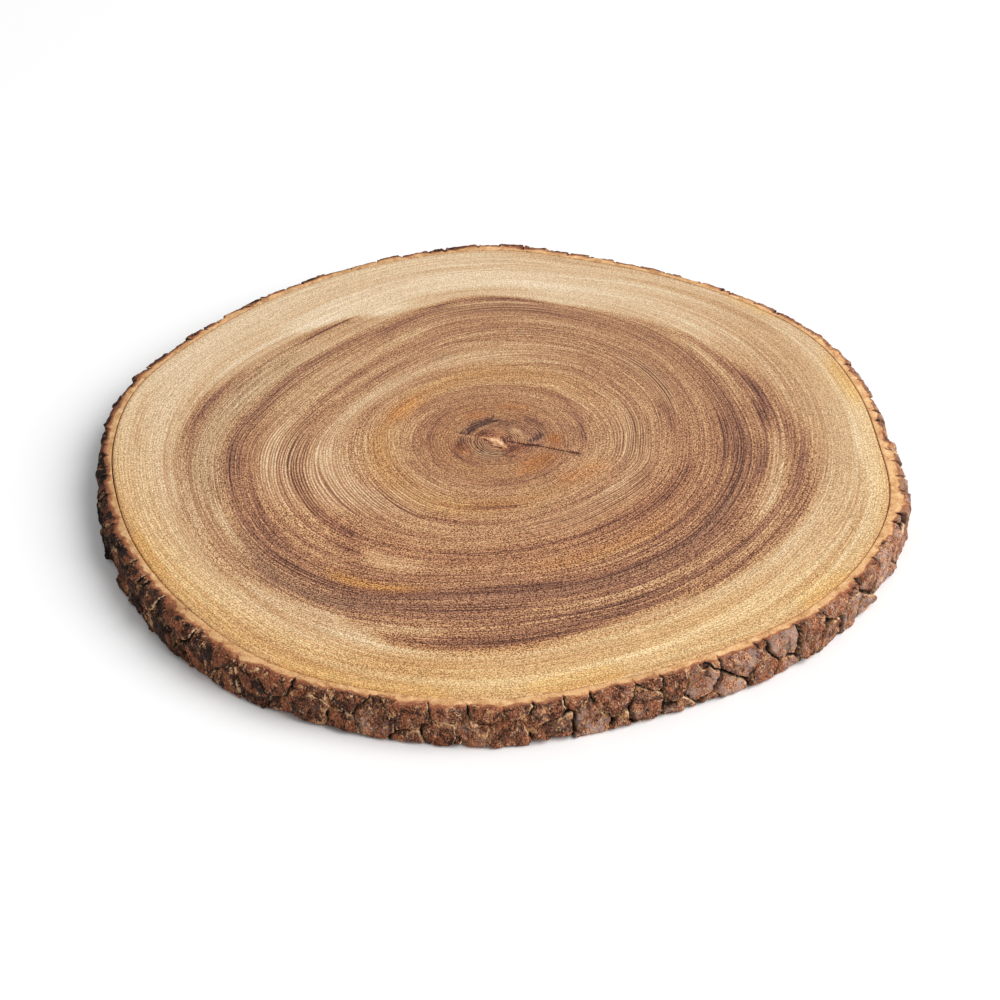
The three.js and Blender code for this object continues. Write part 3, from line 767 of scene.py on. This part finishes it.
def wood_material():
    shader = Shader("wood", Specular_IOR_Level=WOOD_GLOSS)
    between, plus, times = shader.between, shader.plus, shader.times
    growth = shader.attribute("growth")
    tone, honey, olive = shader.parts(shader.attribute("figure"))
    comb, pores, ruddy = shader.parts(shader.attribute("grain"))
    ring = shader.parts(growth)[2]
    place = shader.stretched(shader.add("TexCoord", {}, "Object"), PORE_SCALE)
    bands = shader.noise(shader.stretched(growth, BAND_SCALE), *BAND_NOISE)
    lines = shader.noise(shader.stretched(growth, LINE_SCALE), *LINE_NOISE)
    flecks = shader.add("CombineXYZ", {2: times(ring, PORE_RING_SCALE)})
    flecks = shader.add("VectorMath", {0: place, 1: flecks}, operation="ADD")
    speckle = shader.noise(flecks, *PORE_NOISE)
    # Bands, lines and the comb make the tone uneven
    darkness = between(tone, *PALE_TO_DARK)
    line_tone = times(between(lines, *LINE_SWING), between(ring, *LINES_BY_RING))
    line_tone = times(line_tone, between(darkness, *LINES_BY_DARKNESS))
    phase = plus(times(ring, 1 / COMB_SPACING), times(bands, COMB_STRAY))
    comb_tone = times(shader.maths("SINE", times(phase, 2 * math.pi)), times(comb, COMB_TONE))
    tone = plus(tone, between(bands, *BAND_TONE), line_tone, comb_tone)
    # Tints and pores go over it
    grain = shader.mix(between(speckle, *PORE_EDGE), PORE_TINT, FIBRE_TINT)
    pores = times(pores, between(comb, *PORES_BY_COMB), between(darkness, *PORES_BY_DARKNESS))
    colour = shader.ramp(tone, WOOD_COLOURS)
    for share, tint in ((honey, HONEY_TINT), (olive, OLIVE_TINT), (ruddy, RUDDY_TINT), (pores, grain)):
        colour = shader.mix(share, colour, tint, "MULTIPLY")
    shader.bump(speckle, *WOOD_BUMP)
    return shader.finish(Base_Color=colour, Roughness=between(speckle, *ROUGHNESS_BY_PORE))


# The bark's plates, laid out as in the part's solids

PLATE_COLUMNS = 84  # plates around the trunk
PLATE_LENGTH = 18  # along the trunk
PLATE_ROWS = [-1, 0, 1, 2]  # rows of plates that reach into the slice
PLATE_SPREAD = 0.75  # how far a plate strays from an even spacing, as a share of that spacing
LEAST_LIFT = 0.45  # the lowest plate's height, as a share of the highest
PLATE_LIFT = 2.2  # the highest plate's height
FURROW_DEPTH = 2.6  # below the crown of the highest plates
PLATE_SEED = 41
PLATE_WIDTH = 2 * math.pi * BARK_RADIUS / PLATE_COLUMNS
COLUMN_REACH = 2  # columns to either side that can hold the nearest plates


def seeded(seed):
    """Repeatable random numbers from 0 to 1, the same ones that the solids' plates are drawn with."""
    word = 0xFFFFFFFF
    state = seed
    while True:
        state = (state + 0x6D2B79F5) & word
        mixed = ((state ^ (state >> 15)) * (1 | state)) & word
        mixed = ((mixed + ((mixed ^ (mixed >> 7)) * (61 | mixed))) ^ mixed) & word
        yield (mixed ^ (mixed >> 14)) / 2**32


def make_plates():
    """Angle, height and lift of each plate, by column and row."""
    random = seeded(PLATE_SEED)
    plates = np.zeros((3, PLATE_COLUMNS, len(PLATE_ROWS)))
    for column in range(PLATE_COLUMNS):
        for place, row in enumerate(PLATE_ROWS):
            angle = (column + 0.5 + PLATE_SPREAD * (next(random) - 0.5)) / PLATE_COLUMNS * 360
            height = (row + column % 2 / 2 + PLATE_SPREAD * (next(random) - 0.5)) * PLATE_LENGTH
            lift = LEAST_LIFT + (1 - LEAST_LIFT) * next(random)
            plates[:, column, place] = angle, height, lift
    return plates


def plates_at(angle, z):
    """Distance to the furrow, then place across and along the plate, the plate's lift and its number."""
    plates = make_plates()
    here = np.floor(angle / 360 % 1 * PLATE_COLUMNS).astype(int)
    nearest = np.full(angle.shape, np.inf)
    second = nearest
    found = np.zeros((4, *angle.shape))
    for step in range(-COLUMN_REACH, COLUMN_REACH + 1):
        column = (here + step) % PLATE_COLUMNS
        for row in range(len(PLATE_ROWS)):
            middle, height, lift = plates[:, column, row]
            across = np.radians((angle - middle + 180) % 360 - 180) * BARK_RADIUS
            along = (z - height) * PLATE_WIDTH / PLATE_LENGTH
            distance = np.hypot(across, along)
            closer = distance < nearest
            second = np.where(closer, nearest, np.minimum(second, distance))
            nearest = np.where(closer, distance, nearest)
            found = np.where(closer, [across, along, lift, column * len(PLATE_ROWS) + row], found)
    return second - nearest, *found


# The bark's mesh

TOP_SHOULDER = 3
BOTTOM_SHOULDER = 2
BARK_WIDTH = BARK_RADIUS - WOOD_RADIUS
# Columns round the trunk, and points along each stretch of the section
BARK_COLUMNS = 1800
TOP_POINTS = 9
UPPER_POINTS = 8
WALL_POINTS = 25
LOWER_POINTS = 6
BOTTOM_POINTS = 4
INSIDE_HEIGHTS = (THICKNESS / 2, THICKNESS - 1)
# The fine crack between wood and bark: angle and width
CAMBIUM_GAP = [
    (0, 0.3), (14, 0.14), (30, 0.05), (48, 0.08), (64, 0.36), (100, 0.45), (150, 0.4), (165, 0.5),
    (230, 0.55), (255, 0.4), (270, 0.2), (284, 0.06), (304, 0.06), (312, 0.25), (340, 0.35), (360, 0.3),
]
# How the furrows stray from the solids' straight ones: over what distance, and how far
PLATE_WANDER = [(6, 1.6), (2, 0.7)]
WANDER_SHIFT = 9 * THICKNESS  # so that they don't stray along the trunk as they do across it
PLATE_TILT = 2.6  # from one side of a tilted plate to the other
FURROW_FLOOR = 0.5  # half a furrow's width at its foot, and from its middle to its lip
FURROW_LIP = 1.7
# Furrows gape here and there, most where they are upright
GAPING_SIZE = 13
GAPING_SPAN = (-0.35, 0.3)
UPRIGHT_SPAN = (0.3, 0.6)
LEVEL_OPEN = 0.3  # how open a level furrow is, against 1 for an upright one
SHUT_DEPTH = 0.5  # how deep a shut furrow is, against 1 for an open one
# How much more the furrows gape on one side of the trunk: angle and share
GAPING = [(0, 0.2), (60, 0), (200, 0), (290, 0.1), (315, 0.35), (345, 0.35), (360, 0.2)]
# Narrow cracks follow the open furrows: their depth, width and flat foot as a share of that
SPLIT_DEPTH = 1.7
SPLIT_WIDTH = 1.1
SPLIT_FOOT = 0.25
# Flakes on the plates, each tilted its own way: size, and how far they step and tilt
FLAKES = [((9, 9, 16), 0.6, 0.7), ((3.6, 3.6, 6), 0.28, 0.2)]
FLAKE_TONE = 0.18  # how much lighter one flake is than another
FLAKE_DRAW = (12.9, 78.2, 37.7)  # for drawing a flake's number from its place, and its lean from its number
FLAKE_SPREAD = 437.5
LEAN_ROUND = 40
LEAN_UP = 90
SEAM_DEPTH = 0.25  # between flakes
SEAM_WIDTH = 0.2  # as a share of a flake's size
ROUGHNESS = [(3.0, 0.2), (1.4, 0.28)]  # size and height of what is rougher still
MEAN_HOLLOW = 1.0  # so that the bark stays as thick as its solid
# How much of the outer edges has broken off: by plate, by noise of a size and reach, and at the least
CHIP_DEPTH = 1.6
CHIP_BY_PLATE = 1.6
CHIP_NOISE = [(7, 0.5), (2.5, 0.6)]
TOP_CHIPPED = 0.2
BOTTOM_CHIPPED = 0.4
MOST_CHIPPED = 1.6
CHIP_HEIGHT = 0.4 * THICKNESS  # from either face
CHIP_SPAN = (0.45 * BARK_WIDTH, 0.9 * BARK_WIDTH)  # outwards
# How pale the outer bark is on each side of the trunk: angle and paleness. Partly the bark's own colour,
# partly painted light on the right side and painted shade on the left
BARK_PALENESS_AND_PAINTED_LIGHT = [
    (0, 0.62), (40, 0.44), (90, 0.24), (170, -0.02), (185, -0.3), (200, -0.07), (220, 0.15), (240, 0.18),
    (260, 0.35), (280, 0.46), (292, 0.43), (306, 0.64), (322, 0.51), (340, 0.68), (360, 0.62),
]
PLATE_TONE = 0.28  # how much lighter one plate is than another
SIDE_WIDTH = 0.5  # how softly one side of a plate gives way to the other
# How wide the pale inner bark is beside the wood: angle and width
INNER_WIDTH = [
    (0, 4.2), (40, 3.4), (90, 2.6), (150, 2.8), (170, 2), (190, 1.7), (215, 2.2), (235, 3.1),
    (250, 3.7), (268, 3.6), (290, 3.6), (310, 3.2), (322, 3.5), (345, 4.6), (360, 4.2),
]
LAYER_NOISE = [(11, 2.4), (3.5, 1.0)]  # size and reach of the bays in its edge
# How much further the ruddy layer outside it reaches: angle and width
RUDDY_WIDTH = [(0, 1.2), (140, 1.2), (180, 2.4), (205, 2), (225, 1.2), (360, 1.2)]
TINY = 0.01  # against dividing by nothing


def bark_section():
    """Points as (distance from the wood, height), outwards from the inner top edge and round."""
    def arc(out, z, radius, start, end, points):
        turns = np.radians(np.linspace(start, end, points))
        return [(out + radius * math.cos(turn), z + radius * math.sin(turn)) for turn in turns]
    shoulder = THICKNESS - TOP_SHOULDER
    top = [(out, THICKNESS) for out in np.linspace(0, BARK_WIDTH - TOP_SHOULDER, TOP_POINTS)[:-1]]
    upper = arc(BARK_WIDTH - TOP_SHOULDER, shoulder, TOP_SHOULDER, 90, 0, UPPER_POINTS)
    wall = [(BARK_WIDTH, z) for z in np.linspace(shoulder, BOTTOM_SHOULDER, WALL_POINTS)[1:-1]]
    lower = arc(BARK_WIDTH - BOTTOM_SHOULDER, BOTTOM_SHOULDER, BOTTOM_SHOULDER, 0, -90, LOWER_POINTS)
    bottom = [(out, 0) for out in np.linspace(BARK_WIDTH - BOTTOM_SHOULDER, 0, BOTTOM_POINTS)[1:]]
    inside = [(0, z) for z in INSIDE_HEIGHTS]
    return top + upper + wall + lower + bottom + inside


def flakes_at(x, y, z, size):
    """Distance to the seam between flakes, the flake's own number from 0 to 1, and its tilt there."""
    found = []
    for place in (np.stack([x, y, z], axis=-1).reshape(-1, 3) / size).tolist():
        distances, middles = noise.voronoi(place)
        number = math.sin(middles[0].dot(FLAKE_DRAW)) * FLAKE_SPREAD % 1
        turn = number * LEAN_ROUND
        lean = Vector((math.cos(turn), math.sin(turn), math.cos(number * LEAN_UP)))
        found.append((distances[1] - distances[0], number, lean.dot(Vector(place) - middles[0])))
    return np.reshape(np.transpose(found), (3, *x.shape))


def bark_mesh():
    out, z = (np.array(values, float)[:, None] for values in zip(*bark_section()))
    angle = np.arange(BARK_COLUMNS)[None, :] * 360 / BARK_COLUMNS
    out, z, angle = np.broadcast_arrays(out, z, angle)
    inner = around(WOOD_RADII, angle) + read(CAMBIUM_GAP, angle)
    crown = around(BARK_RADII, angle)
    x, y = turned(lerp(inner, crown, out / BARK_WIDTH), angle)
    # Plates and furrows
    strayed = np.degrees(noises_at(x, y, z, PLATE_WANDER) / BARK_RADIUS)
    strayed_z = z + noises_at(x, y, z + WANDER_SHIFT, PLATE_WANDER)
    edge, across, along, lift, number = plates_at(angle + strayed, strayed_z)
    drawn = np.random.default_rng(PLATE_SEED).random((4, PLATE_COLUMNS * len(PLATE_ROWS)))
    plate_tone, tilt_across, tilt_along, plate_chip = drawn[:, number.astype(int)] - 0.5
    tilt = tilt_across * across + tilt_along * along
    upright = smoothstep(np.abs(across) / (np.abs(across) + np.abs(along) + TINY), *UPRIGHT_SPAN)
    gaping = noise_at(x, y, z, GAPING_SIZE) + read(GAPING, angle)
    open_share = smoothstep(gaping, *GAPING_SPAN) * lerp(LEVEL_OPEN, 1, upright)
    furrow = (1 - smoothstep(edge, FURROW_FLOOR, FURROW_LIP)) * lerp(SHUT_DEPTH, 1, open_share)
    dip = (1 - lift) * PLATE_LIFT + PLATE_TILT / PLATE_WIDTH * tilt + furrow * FURROW_DEPTH * lift
    # Narrow cracks, flakes and roughness
    split = (1 - smoothstep(edge, SPLIT_FOOT * SPLIT_WIDTH, SPLIT_WIDTH)) * open_share
    hollow = SPLIT_DEPTH * split
    # The tone is each plate's and flake's own colour, plus painted light on the right side of the trunk and
    # painted shade on the left
    tone = read(BARK_PALENESS_AND_PAINTED_LIGHT, angle) + PLATE_TONE * plate_tone
    for size, step, lean in FLAKES:
        seam, flake, tilted = flakes_at(x, y, z, size)
        hollow = hollow + step * flake + lean * tilted + SEAM_DEPTH * (1 - smoothstep(seam, 0, SEAM_WIDTH))
        tone = tone + FLAKE_TONE * (flake - 0.5)
    hollow = hollow + noises_at(x, y, z, ROUGHNESS)
    radius = lerp(inner, crown - dip - hollow + MEAN_HOLLOW, out / BARK_WIDTH)
    # Broken outer edges
    broken = CHIP_BY_PLATE * plate_chip + noises_at(x, y, 0, CHIP_NOISE)
    chipped = CHIP_DEPTH * smoothstep(out, *CHIP_SPAN)
    top_chip = np.clip(TOP_CHIPPED + broken, 0, MOST_CHIPPED)
    bottom_chip = np.clip(BOTTOM_CHIPPED - broken, 0, MOST_CHIPPED)
    z = z - chipped * top_chip * smoothstep(z, THICKNESS - CHIP_HEIGHT, THICKNESS)
    z = z + chipped * bottom_chip * (1 - smoothstep(z, 0, CHIP_HEIGHT))
    mesh = ring_mesh("bark", np.stack([*turned(radius, angle), z], axis=-1), loop=True)
    # The bark's layers: below 0 in the inner bark, and from 0 to 1 in the ruddy layer outside it
    side = smoothstep(across, -SIDE_WIDTH, SIDE_WIDTH)
    layer = out - read(INNER_WIDTH, angle) + noises_at(x, y, 0, LAYER_NOISE)
    layer = np.where(layer > 0, layer / read(RUDDY_WIDTH, angle), layer)
    store(mesh, "plate", [edge, tone, layer])
    store(mesh, "flake", [open_share, side, hollow])
    return mesh


# The bark's material

# Outer bark from its darkest to its palest, then crumbling cork, the ruddy layer and the inner bark
BARK_COLOURS = [
    (0, 35, 21, 16),
    (0.2, 75, 46, 33),
    (0.4, 123, 72, 46),
    (0.6, 158, 99, 67),
    (0.8, 195, 141, 105),
    (1, 227, 188, 153),
]
CORK_COLOURS = [
    (0.25, 98, 60, 40),
    (0.5, 178, 122, 78),
    (0.75, 234, 194, 148),
]
RUDDY_COLOURS = [
    (0.3, 98, 54, 38),
    (0.5, 142, 80, 54),
    (0.7, 188, 127, 88),
]
INNER_COLOURS = [
    (0.2, 146, 97, 65),
    (0.42, 202, 151, 101),
    (0.6, 223, 176, 125),
    (0.75, 235, 199, 150),
]
DARK_WEATHERED = srgb(58, 46, 42)
PALE_WEATHERED = srgb(182, 158, 150)
# Painted shade, near black, for the bark's hollows, its narrow cracks and one flank of each plate
PAINTED_SHADE_COLOUR = srgb(20, 13, 11)
PALE_EDGE = srgb(230, 196, 156)
BARK_ROUGHNESS = 0.85
BARK_GLOSS = 0.2
# Noise, from coarse to fine: features to a metre, detail and roughness
PATCHES = (85, 2, 0.5)
BLOTCHES = (210, 3, 0.6)
SCALES = (330, 3, 0.6)
CRUMBS = (1400, 3, 0.65)
GRIT = (2100, 1, 0.7)
ALONG_TRUNK = (1, 1, 0.6)  # scales and crumbs are drawn out upwards
# How far that noise swings the tone, and the edges of what is coloured apart
BLOTCH_TONE = 0.7
CRUMB_TONE = 1.05
GRIT_TONE = 0.7
WEATHERED_RAG = 0.15
RUST_BLOTCH = 0.4
RUST_RAG = 0.15
CORK_RAG = 0.2
LIP_RAG = 0.8
LAYER_CRUMB = 1.2
LAYER_SCALE = 0.8
RUDDY_SCALE = 0.4
RUDDY_LIGHTER = 0.08
INNER_BLOTCH = 0.5
# Spans: from where to where, then from what to what if not from 0 to 1
WEATHERED_BY_TONE = (0.5, 0.7, 0, 0.05)
WEATHERED_EDGE = (0.5, 0.56, 0, 0.5)
WEATHERED_SHARE = (0.3, 0.65, 0.5, 1.6)
RUST_EDGE = (0.525, 0.585)
RUST_SHARE = (0.35, 0.65, 0.75, 0.4)
PAINTED_HOLLOW_SHADE = (0.5, 1.6, 0, 0.6)
CORK_BY_FURROW = (0.5, 3, 0.1, 0)
CORK_BY_TONE = (-0.1, 0.3, -0.04, 0)
CORK_EDGE = (0.6, 0.65)
FLANK_SHADE_EDGE = (0.6, 3.6, 0.7, 0)
FLANK_SHADE_SIDE = (0, 1, 1, 0)
FLANK_SHADE_OPEN = (0.1, 0.6)
LIP_START = (0.6, 0.8)
LIP_END = (1, 1.4, 1, 0)
LIP_BREAKS = (0.45, 0.52)
LIP_SHARE = (-0.1, 0.25, 0.3, 1)
CRACK_SHADE_EDGE = (0.45, 1.2, 1, 0)
CRACK_SHADE_OPEN = (0.15, 0.5)
RUDDY_EDGE = (0.8, 1.2, 1, 0)
SHADED_SIDE = (-0.3, 0.25, 0.3, 1)
RUDDY_SHADE = 0.75
INNER_EDGE = (-0.3, 0.3, 1, 0)
INNER_SHADE = (-0.2, 0.65, 0.82, 1.12)
# The bump: how high crumbs and scales are, what is left of that on inner bark, then strength and metres
BUMP_CRUMB = 0.3
BUMP_SCALE = 0.4
BUMP_BY_LAYER = (-0.6, 0.6, 0.4, 1)
BARK_BUMP = (0.9, 0.0009)


def bark_material():
    shader = Shader("bark", Roughness=BARK_ROUGHNESS, Specular_IOR_Level=BARK_GLOSS)
    between, plus, swing, times = shader.between, shader.plus, shader.swing, shader.times
    edge, tone, layer = shader.parts(shader.attribute("plate"))
    open_share, side, hollow = shader.parts(shader.attribute("flake"))
    place = shader.add("TexCoord", {}, "Object")
    drawn_out = shader.stretched(place, ALONG_TRUNK)
    patch = shader.noise(place, *PATCHES)
    blotch = shader.noise(place, *BLOTCHES)
    scale = shader.noise(drawn_out, *SCALES)
    crumb = shader.noise(drawn_out, *CRUMBS)
    grit = shader.noise(place, *GRIT)
    # The tone holds painted light on the right side of the trunk and painted shade on the left; the shares
    # and colours below that read it carry that too
    varied = plus(tone, swing(blotch, BLOTCH_TONE), swing(crumb, CRUMB_TONE), swing(grit, GRIT_TONE))
    # Grey, weathered faces, rusty patches, and crumbling cork, mostly along furrows
    weathered = plus(scale, swing(crumb, WEATHERED_RAG), between(tone, *WEATHERED_BY_TONE))
    weathered = times(between(weathered, *WEATHERED_EDGE), between(tone, *WEATHERED_SHARE))
    rusty = plus(patch, swing(blotch, RUST_BLOTCH), swing(crumb, RUST_RAG))
    rusty = times(between(rusty, *RUST_EDGE), between(tone, *RUST_SHARE))
    cork = plus(scale, swing(crumb, CORK_RAG), between(edge, *CORK_BY_FURROW), between(tone, *CORK_BY_TONE))
    # Painted shade: one flank of a plate, beside an open furrow, is darker than the other, as if turned from
    # the light
    flank_shade = times(between(edge, *FLANK_SHADE_EDGE), between(side, *FLANK_SHADE_SIDE), between(open_share, *FLANK_SHADE_OPEN))
    # Narrow cracks painted near black as painted shade, with a pale lip to one side where the cork has split
    ragged = plus(edge, swing(crumb, LIP_RAG))
    lip = times(between(ragged, *LIP_START), between(ragged, *LIP_END), side)
    lip = times(lip, between(scale, *LIP_BREAKS), between(tone, *LIP_SHARE))
    crack = times(between(edge, *CRACK_SHADE_EDGE), between(open_share, *CRACK_SHADE_OPEN))
    # The cut top: inner bark beside the wood, then a ruddy, ragged layer
    layer = plus(layer, swing(crumb, LAYER_CRUMB), swing(scale, LAYER_SCALE))
    ruddy = between(layer, *RUDDY_EDGE)
    ruddiness = plus(crumb, RUDDY_LIGHTER, swing(scale, RUDDY_SCALE))
    inner = shader.ramp(plus(crumb, swing(blotch, INNER_BLOTCH)), INNER_COLOURS)
    # Painted light and shade on the inner bark: lighter where the tone is paler, darker where it is darker
    inner = shader.mix(1.0, inner, between(tone, *INNER_SHADE), "MULTIPLY")
    # Each of these covers the ones before it
    colour = shader.ramp(varied, BARK_COLOURS)
    for share, cover in (
        (weathered, shader.mix(tone, DARK_WEATHERED, PALE_WEATHERED)),
        (rusty, shader.ramp(crumb, RUDDY_COLOURS)),
        # Painted shade in the bark's hollows: the deeper the hollow, the darker
        (between(hollow, *PAINTED_HOLLOW_SHADE), PAINTED_SHADE_COLOUR),
        (between(cork, *CORK_EDGE), shader.ramp(crumb, CORK_COLOURS)),
        (flank_shade, PAINTED_SHADE_COLOUR),
        (lip, PALE_EDGE),
        (crack, PAINTED_SHADE_COLOUR),
        (ruddy, shader.ramp(ruddiness, RUDDY_COLOURS)),
    ):
        colour = shader.mix(share, colour, cover)
    # The shaded side of the trunk is darker, but for the inner bark
    shade = shader.maths("MAXIMUM", between(tone, *SHADED_SIDE), times(ruddy, RUDDY_SHADE))
    colour = shader.mix(1.0, colour, shade, "MULTIPLY")
    colour = shader.mix(between(layer, *INNER_EDGE), colour, inner)
    rough = plus(swing(crumb, BUMP_CRUMB), swing(scale, BUMP_SCALE))
    shader.bump(times(rough, between(layer, *BUMP_BY_LAYER)), *BARK_BUMP)
    return shader.finish(Base_Color=colour)


# The studio: lengths in metres, except for the camera's place

CAMERA_PLACE = (1.418, -877.185, 622.844)
CAMERA_TILT = 54  # up from straight down
CAMERA_LENS = 81.04
SENSOR_WIDTH = 36
FLOOR_SIZE = 12
FLOOR_COLOUR = (0.95, 0.95, 0.95, 1)
FLOOR_ROUGHNESS = 0.9
KEY_PLACE = (4.1, -1.2, 4.2)
KEY_SIZE = 6.0
KEY_POWER = 412
WORLD_COLOUR = (1, 1, 1, 1)
WORLD_STRENGTH = 0.47


def add_floor():
    half = FLOOR_SIZE / 2
    mesh = bpy.data.meshes.new("floor")
    corners = [(-half, -half, 0), (half, -half, 0), (half, half, 0), (-half, half, 0)]
    mesh.from_pydata(corners, [], [(0, 1, 2, 3)])
    shader = Shader("floor", Base_Color=FLOOR_COLOUR, Roughness=FLOOR_ROUGHNESS, Specular_IOR_Level=0.0)
    mesh.materials.append(shader.material)
    floor = add_object("floor", mesh)


def add_light():
    data = bpy.data.lights.new("key", "AREA")
    data.shape = "DISK"
    data.size = KEY_SIZE
    data.energy = KEY_POWER
    light = add_object("key", data)
    light.location = KEY_PLACE
    light.rotation_euler = (-Vector(KEY_PLACE)).to_track_quat("-Z", "Y").to_euler()


def add_world():
    world = bpy.data.worlds.new("studio")
    world.use_nodes = True
    background = world.node_tree.nodes["Background"]
    background.inputs["Color"].default_value = WORLD_COLOUR
    background.inputs["Strength"].default_value = WORLD_STRENGTH
    bpy.context.scene.world = world
    bpy.context.scene.view_settings.view_transform = "Standard"


def add_camera():
    data = bpy.data.cameras.new("camera")
    data.sensor_width = SENSOR_WIDTH
    data.lens = CAMERA_LENS
    camera = add_object("camera", data)
    camera.location = [value * MM for value in CAMERA_PLACE]
    camera.rotation_euler = (math.radians(CAMERA_TILT), 0, 0)
    bpy.context.scene.camera = camera


add_piece("wood", wood_mesh(), wood_material(), "wood_disc")
add_piece("bark", bark_mesh(), bark_material(), "bark_ring")
add_world()
add_light()
add_floor()
add_camera()
